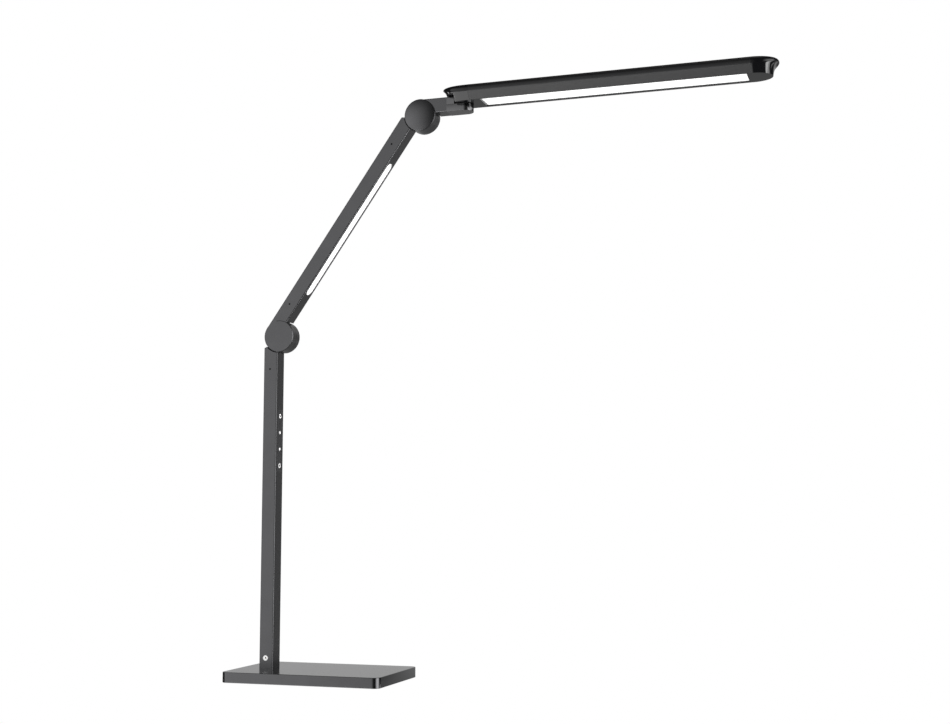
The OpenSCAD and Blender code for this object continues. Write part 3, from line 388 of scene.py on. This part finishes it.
def finish(slot):
    """The material of a slot: a principled surface whose colour, roughness and fine relief follow
    noise on object coordinates."""
    known = bpy.data.materials.get(slot)
    if known and known.get("lamp_finish"):
        return known
    if known:
        known.name = slot + "_frame"
    values = finish_table()[slot]
    material = bpy.data.materials.new(slot)
    material["lamp_finish"] = True
    material.use_nodes = True
    tree = material.node_tree
    shader = next(n for n in tree.nodes if n.type == "BSDF_PRINCIPLED")
    place = tree.nodes.new("ShaderNodeTexCoord").outputs["Object"]
    broad = noise_link(tree, place, values["tint_scale"], 3)
    fine = noise_link(tree, place, values["grain_scale"], 2, values["stretch"])
    tint = tinted(tree, broad, values["colour"], values["tint"])
    tree.links.new(tint, shader.inputs["Base Color"])
    low, high = values["rough"] - values["rough_spread"], values["rough"] + values["rough_spread"]
    tree.links.new(spread(tree, fine, low, high), shader.inputs["Roughness"])
    bump = tree.nodes.new("ShaderNodeBump")
    bump.inputs["Strength"].default_value = 1
    bump.inputs["Distance"].default_value = values["grain"] * MM
    tree.links.new(fine, bump.inputs["Height"])
    tree.links.new(bump.outputs["Normal"], shader.inputs["Normal"])
    shader.inputs["Metallic"].default_value = values["metallic"]
    shader.inputs["Specular IOR Level"].default_value = values["specular"]
    if values["glow"]:
        shader.inputs["Emission Color"].default_value = (1, 1, 1, 1)
        shader.inputs["Emission Strength"].default_value = values["glow"]
    return material


def dress(*nodes):
    """Gives CAD nodes the finish of their own material slot."""
    for name in nodes:
        piece = frame["nodes"][name]
        slot = piece.data.materials[0].name.removesuffix("_frame")
        piece.data.materials[0] = finish(slot)


# ---------- pieces ----------

class LampOperator:
    """What every piece's operator shares"""
    bl_options = {"REGISTER", "UNDO"}

    @property
    def sizes(self):
        """The sizes of the panel, in millimetres."""
        group = bpy.context.scene.lamp_sizes
        return {key: getattr(group, key) / MM for key in LampSizes.__annotations__}


class LAMP_OT_base(LampOperator, bpy.types.Operator):
    """Base plate with rounded edges, and its anti-slip pad"""
    bl_idname = "lamp.base"
    bl_label = "Base"

    def execute(self, context):
        """Plate: a rounded outline through the levels of its rounded edges; underneath, the pad's
        recess is the pad's outline from its ceiling down to the plate's lower face."""
        sizes = self.sizes
        half = (BASE[1] - BASE[0])[:2] / 2
        pad_half = (PAD[1] - PAD[0])[:2] / 2
        low, high = BASE[0][2], BASE[1][2]

        def plate(inset):
            """The plate's outline, drawn in by an inset."""
            return rounded_outline(half - inset, sizes["base_corner"] - inset)

        recess_rim = rounded_outline(pad_half + PAD_GAP, sizes["pad_corner"])
        recess = np.stack([level_ring(recess_rim, z) for z in (PAD[1][2], low)])
        edge = sizes["base_edge"]
        rings = np.vstack([recess, stacked(plate, side_levels(low, high, edge, edge))])
        write_mesh("base_shape", [skin(rings)], "stand", "graphite_paint", ["base_plate"])

        def pad(inset):
            """The pad's outline, drawn in by an inset."""
            return rounded_outline(pad_half - inset, sizes["pad_corner"] - inset)

        rings = stacked(pad, side_levels(PAD[0][2], PAD[1][2], *PAD_EDGES))
        write_mesh("pad_shape", [skin(rings)], "stand", "rubber", ["base_pad"])
        dress("post_foot", "foot_screws")
        return {"FINISHED"}


class LAMP_OT_post(LampOperator, bpy.types.Operator):
    """Post with its touch controls and power inlet"""
    bl_idname = "lamp.post"
    bl_label = "Post"

    def execute(self, context):
        """Symbols and inlet ring are turned forms: a closed profile once round their own axis."""
        sizes = self.sizes
        low, high = node_box("touch_symbols")
        rise, y = high[2] - low[2], (low[1] + high[1]) / 2
        ring, dot = sizes["symbol_ring"] / 2, sizes["symbol_dot"] / 2
        pitch = (rise - sizes["symbol_ring"]) / (SYMBOLS - 1)
        back = low[0]
        depth, edge = high[0] - back, SYMBOL_EDGE
        hollow, floor = ring - RING_WIDTH, depth - RING_DEPTH
        ring_profile = [(0, 0), (ring, 0), (ring, depth - edge), (ring - edge, depth),
                        (hollow + edge, depth), (hollow, depth - edge), (hollow, floor),
                        (0, floor)]
        dot_profile = [(0, 0), (dot, 0), (dot, depth - edge), (dot - edge, depth), (0, depth)]
        shapes = []
        for k in range(SYMBOLS):
            profile = ring_profile if k in (0, SYMBOLS - 1) else dot_profile
            centre = (back, y, low[2] + ring + k * pitch)
            shapes.append(placed(skin(turned(profile, steps=48)), centre, (0, 1, 0), (0, 0, 1)))
        write_mesh("touch_marks", shapes, "stand", "symbol_white", ["touch_symbols"])

        low, high = node_box("inlet_ring")
        radius, depth = (high[0] - low[0]) / 2, high[1] - low[1]
        bore, edge = sizes["inlet_bore"] / 2, INLET_EDGE
        profile = [(radius, depth), (radius, edge), (radius - edge, 0), (bore + edge, 0),
                   (bore, edge), (bore, depth)]
        rings = turned(profile, steps=48)
        centre = ((low[0] + high[0]) / 2, low[1], (low[2] + high[2]) / 2)
        write_mesh("inlet_rim", [placed(skin(rings, loop=True), centre, (1, 0, 0), (0, 0, -1))],
                   "stand", "symbol_white", ["inlet_ring"])
        dress("post_tube", "touch_panel", "touch_board", "symbol_leds", "inlet_body", "inlet_pin",
              "post_leads")
        return {"FINISHED"}


class LAMP_OT_elbows(LampOperator, bpy.types.Operator):
    """Cover, washers and screws of the two elbows"""
    bl_idname = "lamp.elbows"
    bl_label = "Elbows"

    def execute(self, context):
        """Cover: a profile of spigot, back, rim and a shallow spherical crown, turned round the
        elbow's axis. The crown's sphere passes through the rim's edge and the middle of the face:
        its radius is (r^2 + d^2) / 2d for a rim of radius r and a crown of height d."""
        radius = (COVER[1][0] - COVER[0][0]) / 2
        thick = COVER[1][1] - COVER[0][1] - SPIGOT_DEPTH
        dome = thick - self.sizes["cover_rim"]
        ball = (radius ** 2 + dome ** 2) / (2 * dome)
        tilt = math.degrees(math.asin(radius / ball))
        crown = arc((0, thick - ball), ball, 90 - tilt, 90, steps=28)
        edge = arc(crown[0] - COVER_EDGE, COVER_EDGE, 0, 90 - tilt, steps=3) + (0, COVER_LIFT)
        spigot = [(0, -SPIGOT_DEPTH), (SPIGOT_RADIUS, -SPIGOT_DEPTH), (SPIGOT_RADIUS, 0)]
        # The rounding takes the place of the crown's first two points
        profile = np.vstack([spigot, [(radius, 0)], edge, crown[2:]])
        origin = (UPPER[0], COVER[0][1] + thick, UPPER[2])
        disc = placed(skin(turned(profile, steps=96)), origin, (1, 0, 0), (0, 0, 1))
        write_mesh("elbow_disc", [disc], "neck", "cast_dark", ["elbow_cover"])
        dress("post_knuckle", "post_set_screw", "lower_bush", "lower_friction_washer",
              "lower_end_plug", "lower_pivot_screw", "lower_spring_washers", "upper_pivot_screw",
              "upper_spring_washers", "upper_friction_washer", "upper_bush")
        return {"FINISHED"}


class LAMP_OT_arm(LampOperator, bpy.types.Operator):
    """Swing arm with its light strip"""
    bl_idname = "lamp.arm"
    bl_label = "Arm"

    def execute(self, context):
        """The arm's tube, knuckles, cover and board keep their CAD shapes and take their
        finishes."""
        dress("arm_tube", "arm_light_cover", "arm_led_board", "arm_leds", "arm_leads",
              "arm_lower_knuckle", "arm_upper_knuckle", "arm_set_screws")
        return {"FINISHED"}


class LAMP_OT_neck(LampOperator, bpy.types.Operator):
    """Neck and swivel bracket"""
    bl_idname = "lamp.neck"
    bl_label = "Neck"

    def execute(self, context):
        """Bracket: a plan with a round end through levels, whose lower and upper edges are
        rounded; above the tongue the plan ends at the step."""
        sizes = self.sizes
        edge, crisp = sizes["neck_edge"], sizes["bracket_under"]
        low, top = BRACKET[0][2], BRACKET[1][2]
        half = (BRACKET[1][1] - BRACKET[0][1]) / 2
        seam = UPPER[0] + NECK_SEAM
        step = seam + BRACKET_STEP

        def plan(inset, end):
            """Straight sides from the seam and a half circle about the swivel axis, cut off at
            an end."""
            r = half - inset
            turn = arc((SWIVEL[0], 0), r, -90, 90, steps=28)
            points = np.vstack([[(seam, -r), (step, -r)], turn, [(step, r), (seam, r)]])
            return np.column_stack([np.minimum(points[:, 0], end), points[:, 1]])

        lower_edge = arc((crisp, low + crisp), crisp, 270, 180, steps=6)
        tongue_edge = [(inset, TONGUE_Z + z) for inset, z in TONGUE_EDGE]
        tongue = np.vstack([[(edge + FLAT_RING, low)], lower_edge, tongue_edge])
        upper_edge = arc((edge, top - edge), edge, 180, 90, steps=6)
        above = np.vstack([[tongue_edge[-1], (0, TONGUE_Z + STEP_RISE)], upper_edge,
                           [(edge + FLAT_RING, top)]])
        past_end = SWIVEL[0] + 2 * half
        rings = np.concatenate([stacked(lambda inset: plan(inset, past_end), tongue),
                                stacked(lambda inset: plan(inset, step), above)])
        # The bracket shows graphite paint with painted light: a lighter colour against the head's
        # shade, in place of its slot's gloss black
        write_mesh("bracket_shape", [skin(rings)], "neck", "gloss_black", ["swivel_bracket"],
                   look="bracket_graphite_painted_light")
        dress("neck_knuckle", "bracket_screws", "swivel_washer", "swivel_plug", "neck_lead")
        return {"FINISHED"}


def head_section(sizes, gap=0.0, foot_z=0.0):
    """Half outline of the head above a height, in (y, z) from foot to crown: a sloping wall
    tangent to the shoulder's arc. All of it lies a gap inside the outer face."""
    shoulder = np.array([HEAD_HALF - sizes["shoulder"], HEAD_HEIGHT - sizes["shoulder"]])
    bottom = sizes["shell_bottom"] / 2
    reach = np.hypot(shoulder[0] - bottom, shoulder[1])
    slope = math.atan2(shoulder[1], shoulder[0] - bottom) - math.asin(sizes["shoulder"] / reach)
    foot = (bottom - gap / math.sin(slope) + foot_z / math.tan(slope), foot_z)
    bend = arc(shoulder, sizes["shoulder"] - gap, math.degrees(slope) - 90, 90, steps=18)
    return np.vstack([foot, bend])


def nose_section(sizes, reach):
    """Foot and bend of a cap's straight nose, in (x, z): a wall leans out from the foot to the
    nose's large arc, which it touches as a tangent and which goes on to the crown."""
    centre = np.array([reach - sizes["nose"], HEAD_HEIGHT - sizes["nose"]])
    foot = np.array([reach - sizes["nose_under"], 0])
    off = centre - foot
    lean = math.atan2(off[1], off[0]) - math.asin(sizes["nose"] / np.hypot(*off))
    return foot[None], arc(centre, sizes["nose"], math.degrees(lean) - 90, 90, steps=18)


def lip_section(sizes, reach, radius):
    """Wall and bend of a cap's hollow nose, in (x, z) from foot to crown: a wall up to a lip, then
    the lip's small lower edge and its large upper arc. With u from 0 to 1 the wall is the cubic
    curve (1-u)^3 A + 3 (1-u)^2 u B + 3 (1-u) u^2 C + u^3 D from the foot A to the lip D."""
    edge, lip = sizes["lip_edge"], HEAD_HEIGHT - radius
    corner = arc((reach - edge, lip), edge, LIP_START, 0, steps=3)
    crown = arc((reach - radius, lip), radius, 0, 90, steps=15)
    u = np.linspace(0, 1, 40)[:, None]
    foot = np.array([reach - sizes["nose_under"], 0])
    low_pull = foot + (HOLLOW_LEAN, lip / 2)
    high_pull = np.array([reach - sizes["lip_depth"], lip - HOLLOW_DROP])
    wall = (1 - u) ** 3 * foot + 3 * (1 - u) ** 2 * u * low_pull \
        + 3 * (1 - u) * u ** 2 * high_pull + u ** 3 * corner[0]
    return wall, np.vstack([corner, crown[1:]])


def resampled(profile, count):
    """A profile with a given number of points, evenly by its length."""
    run = np.concatenate([[0], np.cumsum(np.hypot(*np.diff(profile, axis=0).T))])
    t = np.linspace(0, run[-1], count)
    return np.column_stack([np.interp(t, run, profile[:, 0]), np.interp(t, run, profile[:, 1])])


def even(wall, bend, count=240):
    """A profile of wall and bend, resampled: each takes half of the points."""
    wall = np.vstack([wall, bend[:1]])
    return np.vstack([resampled(wall, count // 2 + 1)[:-1], resampled(bend, count // 2)])


def cap_rings(sizes, reach, radius, power=1.0, columns=72):
    """Rings of a hull-shaped cap, level by level. With t from -90 to 90 degrees, a point is
    (nose_x * cos^p t, side_y * sin^p t, side_z * sin^2 t + nose_z * cos^2 t): the head's section
    turns into the nose's while it goes round an ellipse, fuller for a power p under 1. The nose's
    section is the lip's by a share of cos^n t, n = LIP_POWER, and the straight one's by the rest.
    Each ring takes x and y where z passes its level."""
    section = head_section(sizes)
    side = even(section[:1], section[1:])
    straight, lip = even(*nose_section(sizes, reach)), even(*lip_section(sizes, reach, radius))
    t = np.radians(np.linspace(-90, 90, columns + 1))
    share = np.cos(t) ** LIP_POWER
    nose_x = straight[:, :1] + share * (lip[:, :1] - straight[:, :1])
    nose_z = straight[:, 1:] + share * (lip[:, 1:] - straight[:, 1:])
    z = side[:, 1:] * np.sin(t) ** 2 + nose_z * np.cos(t) ** 2
    x = nose_x * np.cos(t).clip(0) ** power
    y = side[:, :1] * np.sign(t) * np.abs(np.sin(t)) ** power
    # Levels: twelve up the wall, then close together round the shoulder's bend
    turn = np.radians(np.linspace(-20, 90, 60))
    bend = HEAD_HEIGHT - sizes["shoulder"] * (1 - np.sin(turn))
    levels = np.concatenate([np.linspace(0, bend[0], 12, endpoint=False), bend])
    rings = np.empty((len(levels), columns + 1, 3))
    for j in range(columns + 1):
        rings[:, j, 0] = np.interp(levels, z[:, j], x[:, j])
        rings[:, j, 1] = np.interp(levels, z[:, j], y[:, j])
    rings[:, :, 2] = levels[:, None]
    return rings


def tongue_rings(sizes, x0, x1):
    """Rings of the plate by which a cap fills the rims between its seam and the light: a
    rectangle carried along x, its four corners the same at both ends."""
    half = sizes["shell_bottom"] / 2 - sizes["rim"] - SEAT_GAP
    low, high = HEAD_Z, HEAD_Z + sizes["rim_height"]
    section = np.array([(half, low), (half, high), (-half, high), (-half, low)])
    return np.stack([np.column_stack([np.full(4, x), section]) for x in (x0, x1)])


class LAMP_OT_head(LampOperator, bpy.types.Operator):
    """Head: shell and two end caps"""
    bl_idname = "lamp.head"
    bl_label = "Head"

    def execute(self, context):
        """Shell: one closed section of outer face, rims and inner face carried along x. Caps:
        hull rings; below its pocket's ceiling the back cap begins only at the pocket's end."""
        sizes = self.sizes
        wall, rim, rim_height = sizes["shell_wall"], sizes["rim"], sizes["rim_height"]
        outer, inner = head_section(sizes), head_section(sizes, wall, rim_height)
        bottom = sizes["shell_bottom"] / 2
        mirrored = np.array([-1, 1])
        rim_right = np.array([(bottom - rim, rim_height), (bottom - rim, 0)])
        section = np.vstack([outer, outer[::-1] * mirrored, rim_right[::-1] * mirrored,
                             inner * mirrored, inner[::-1], rim_right])
        x0, x1 = SHELL[0][0], SHELL[1][0]
        stations = [(x0, -SHELL_BEVEL), (x0 + SHELL_BEVEL, 0), (x1 - SHELL_BEVEL, 0),
                    (x1, -SHELL_BEVEL)]
        up = np.array([0, 0, HEAD_Z])
        write_mesh("shell_shape", [skin(along_x(section, stations) + up)], "head", "shell_black",
                   ["head_shell"])

        seam = x1 + SEAT_GAP
        front = cap_rings(sizes, FRONT_CAP[1][0] - x1, sizes["front_lip"])
        tongue = tongue_rings(sizes, HEAD_LIGHT[1][0] + LIGHT_GAP, seam)
        write_mesh("front_cap_shape", [skin(front + np.array([seam, 0, HEAD_Z])), skin(tongue)],
                   "head", "gloss_black", ["front_cap"])

        seam = x0 - SEAT_GAP
        back = cap_rings(sizes, x0 - BACK_CAP[0][0], sizes["back_lip"], BACK_POWER)
        back = back * np.array([-1, 1, 1]) + np.array([seam, 0, 0])
        end = SWIVEL[0] - POCKET_REACH
        k = int(np.searchsorted(back[:, 0, 2], POCKET_HEIGHT))
        under, over = back[k - 1], back[k]
        share = (POCKET_HEIGHT - under[0, 2]) / (over[0, 2] - under[0, 2])
        ledge = under + share * (over - under)
        lower = np.concatenate([back[:k], ledge[None]])
        middle = np.abs(lower[:, :, 1]) < POCKET_HALF
        lower[:, :, 0] = np.maximum(lower[:, :, 0], np.where(middle, end + POCKET_STEP, end))
        rings = np.concatenate([lower, ledge[None], back[k:]]) + up
        tongue = tongue_rings(sizes, seam, HEAD_LIGHT[0][0] - LIGHT_GAP)
        write_mesh("back_cap_shape", [skin(rings), skin(tongue)], "head", "gloss_black",
                   ["back_cap"])
        dress("head_light_cover", "head_led_board", "head_leds", "driver_board", "driver_parts",
              "head_leads", "swivel_block", "block_screws", "swivel_screw", "swivel_spring_washer")
        return {"FINISHED"}


# ---------- stage ----------

def math_node(tree, operation, *values):
    """A math node over sockets or numbers."""
    node = tree.nodes.new("ShaderNodeMath")
    node.operation = operation
    for k, value in enumerate(values):
        if isinstance(value, (int, float)):
            node.inputs[k].default_value = value
        else:
            tree.links.new(value, node.inputs[k])
    return node.outputs[0]


def edge_ramp(tree, angle, start, end):
    """Smooth step from 0 to 1 while an angle in degrees goes from a start to an end."""
    ramp = tree.nodes.new("ShaderNodeMapRange")
    ramp.interpolation_type = "SMOOTHSTEP"
    ramp.inputs["From Min"].default_value = start
    ramp.inputs["From Max"].default_value = end
    tree.links.new(angle, ramp.inputs["Value"])
    return ramp.outputs["Result"]


def direction_window(tree, angle, edges):
    """Rises from 0 to 1 between the first two edges and falls back between the last two, in
    degrees."""
    rise = edge_ramp(tree, angle, edges[0], edges[1])
    fall = edge_ramp(tree, angle, edges[3], edges[2])
    return math_node(tree, "MULTIPLY", rise, fall)


# Soft boxes of the studio: edges in azimuth from the front (-Y) towards +X, edges in elevation,
# both in degrees, then strength. Light rises between the first two edges and falls between the
# last two.
SOFT_BOXES = [
    ((-66, -56, -33, 15), (-34, -30, 8, 58), 1.22),
    ((-66, -56, -50, -28), (-10, 5, 8, 58), 0.30),
    ((-80, -74, -14, 4), (-64, -56, -33, -29), 3.90),
    ((-84, -76, -70, -64), (-38, -34, -28, -24), 3.50),
    ((-99, -95, -90, -87), (-26, -23, -18, -12), 10.0),
    ((38, 68, 88, 112), (-20, -14, 20, 38), 3.60),
    ((70, 76, 97, 103), (-42, -38, -20, -14), 6.00),
    ((72, 76, 86, 92), (-42, -38, -32, -24), 7.00),
    ((112, 120, 140, 150), (-20, -16, -10, -8), 1.50),
    ((126, 154, 226, 254), (-48, -32, -16, 0), 0.28),
    ((144, 168, 228, 252), (-16, 0, 20, 36), 0.62),
    ((-190, -185, 185, 190), (66, 82, 95, 96), 0.50),
]
AMBIENT = 0.06           # light from every direction


def studio_world():
    """World whose light comes from soft boxes by direction, and which the camera sees as white."""
    world = bpy.data.worlds.new("studio")
    bpy.context.scene.world = world
    world.use_nodes = True
    tree = world.node_tree
    tree.nodes.clear()
    way = tree.nodes.new("ShaderNodeTexCoord").outputs["Generated"]
    axes = tree.nodes.new("ShaderNodeSeparateXYZ")
    tree.links.new(way, axes.inputs[0])
    front = math_node(tree, "MULTIPLY", axes.outputs["Y"], -1.0)
    azimuth = math_node(tree, "DEGREES", math_node(tree, "ARCTAN2", axes.outputs["X"], front))
    elevation = math_node(tree, "DEGREES", math_node(tree, "ARCSINE", axes.outputs["Z"]))
    total = None
    for sides, levels, strength in SOFT_BOXES:
        centre = (sides[0] + sides[3]) / 2
        away = math_node(tree, "WRAP", math_node(tree, "SUBTRACT", azimuth, centre), 180.0, -180.0)
        across = direction_window(tree, away, [side - centre for side in sides])
        up = direction_window(tree, elevation, levels)
        box = math_node(tree, "MULTIPLY", math_node(tree, "MULTIPLY", across, up), strength)
        total = box if total is None else math_node(tree, "ADD", total, box)
    light = math_node(tree, "ADD", total, AMBIENT)
    studio = tree.nodes.new("ShaderNodeBackground")
    tree.links.new(light, studio.inputs["Strength"])
    seen = tree.nodes.new("ShaderNodeBackground")
    seen.inputs["Color"].default_value = (1, 1, 1, 1)
    mix = tree.nodes.new("ShaderNodeMixShader")
    tree.links.new(tree.nodes.new("ShaderNodeLightPath").outputs["Is Camera Ray"], mix.inputs[0])
    tree.links.new(studio.outputs[0], mix.inputs[1])
    tree.links.new(seen.outputs[0], mix.inputs[2])
    output = tree.nodes.new("ShaderNodeOutputWorld")
    tree.links.new(mix.outputs[0], output.inputs[0])


FLOOR_RADIUS = 8.0       # in metres
# The camera's place in metres, its turn in degrees and its lens in millimetres
CAMERA_PLACE = (0.699674, -1.564262, 0.199335)
CAMERA_TURN = (96.1452, 0, 17.9003)
CAMERA_LENS = 52.968


class LAMP_OT_stage(LampOperator, bpy.types.Operator):
    """Plain pale floor, soft studio light and the camera"""
    bl_idname = "lamp.stage"
    bl_label = "Stage"

    def execute(self, context):
        """Floor: one large disc at z = 0 with a circle for its rim. It is white from above and
        clear from below, and neither lights the lamp nor shows in its finishes."""
        scene = context.scene
        mesh = bpy.data.meshes.new("floor")
        rim = level_ring(arc((0, 0), FLOOR_RADIUS, 0, 360, steps=96)[:-1], 0.0)
        mesh.from_pydata(rim.tolist(), [], [list(range(len(rim)))])
        floor = bpy.data.objects.new("floor", mesh)
        scene.collection.objects.link(floor)
        material = bpy.data.materials.new("floor_white")
        material.use_nodes = True
        tree = material.node_tree
        seen = tree.nodes.new("ShaderNodeEmission")
        below = tree.nodes.new("ShaderNodeBsdfTransparent")
        side = tree.nodes.new("ShaderNodeNewGeometry")
        mix = tree.nodes.new("ShaderNodeMixShader")
        tree.links.new(side.outputs["Backfacing"], mix.inputs[0])
        tree.links.new(seen.outputs[0], mix.inputs[1])
        tree.links.new(below.outputs[0], mix.inputs[2])
        output = next(n for n in tree.nodes if n.type == "OUTPUT_MATERIAL")
        tree.links.new(mix.outputs[0], output.inputs["Surface"])
        mesh.materials.append(material)
        floor.visible_diffuse = False
        floor.visible_glossy = False
        floor.visible_shadow = False
        studio_world()
        scene.view_settings.view_transform = "Standard"
        data = bpy.data.cameras.new("camera")
        data.sensor_width = 36
        data.lens = CAMERA_LENS
        camera = bpy.data.objects.new("camera", data)
        camera.location = CAMERA_PLACE
        camera.rotation_euler = np.radians(CAMERA_TURN)
        scene.collection.objects.link(camera)
        scene.camera = camera
        return {"FINISHED"}


PIECES = (LAMP_OT_base, LAMP_OT_post, LAMP_OT_elbows, LAMP_OT_arm, LAMP_OT_neck, LAMP_OT_head,
          LAMP_OT_stage)


class LAMP_PT_sidebar(bpy.types.Panel):
    """Lists the lamp's pieces, sizes and colours"""
    bl_label = "Folding desk lamp"
    bl_idname = "LAMP_PT_sidebar"
    bl_space_type = "VIEW_3D"
    bl_region_type = "UI"
    bl_category = "Lamp"

    def draw(self, context):
        """A button for each piece, then the sizes and the colours."""
        column = self.layout.column(align=True)
        for piece in PIECES:
            column.operator(piece.bl_idname)
        for group in (context.scene.lamp_sizes, context.scene.lamp_colours):
            box = self.layout.box()
            for key in group.__annotations__:
                box.prop(group, key)


CLASSES = (LampSizes, LampColours, *PIECES, LAMP_PT_sidebar)


def register():
    """Registers the classes and hangs the two groups of values on the scene."""
    for cls in CLASSES:
        bpy.utils.register_class(cls)
    bpy.types.Scene.lamp_sizes = PointerProperty(type=LampSizes)
    bpy.types.Scene.lamp_colours = PointerProperty(type=LampColours)


def unregister():
    """Takes the groups and classes away again."""
    del bpy.types.Scene.lamp_colours
    del bpy.types.Scene.lamp_sizes
    for cls in reversed(CLASSES):
        bpy.utils.unregister_class(cls)


def main():
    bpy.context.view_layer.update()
    register()
    for piece in PIECES:
        group, name = piece.bl_idname.split(".")
        getattr(getattr(bpy.ops, group), name)()


if __name__ == "__main__":
    main()
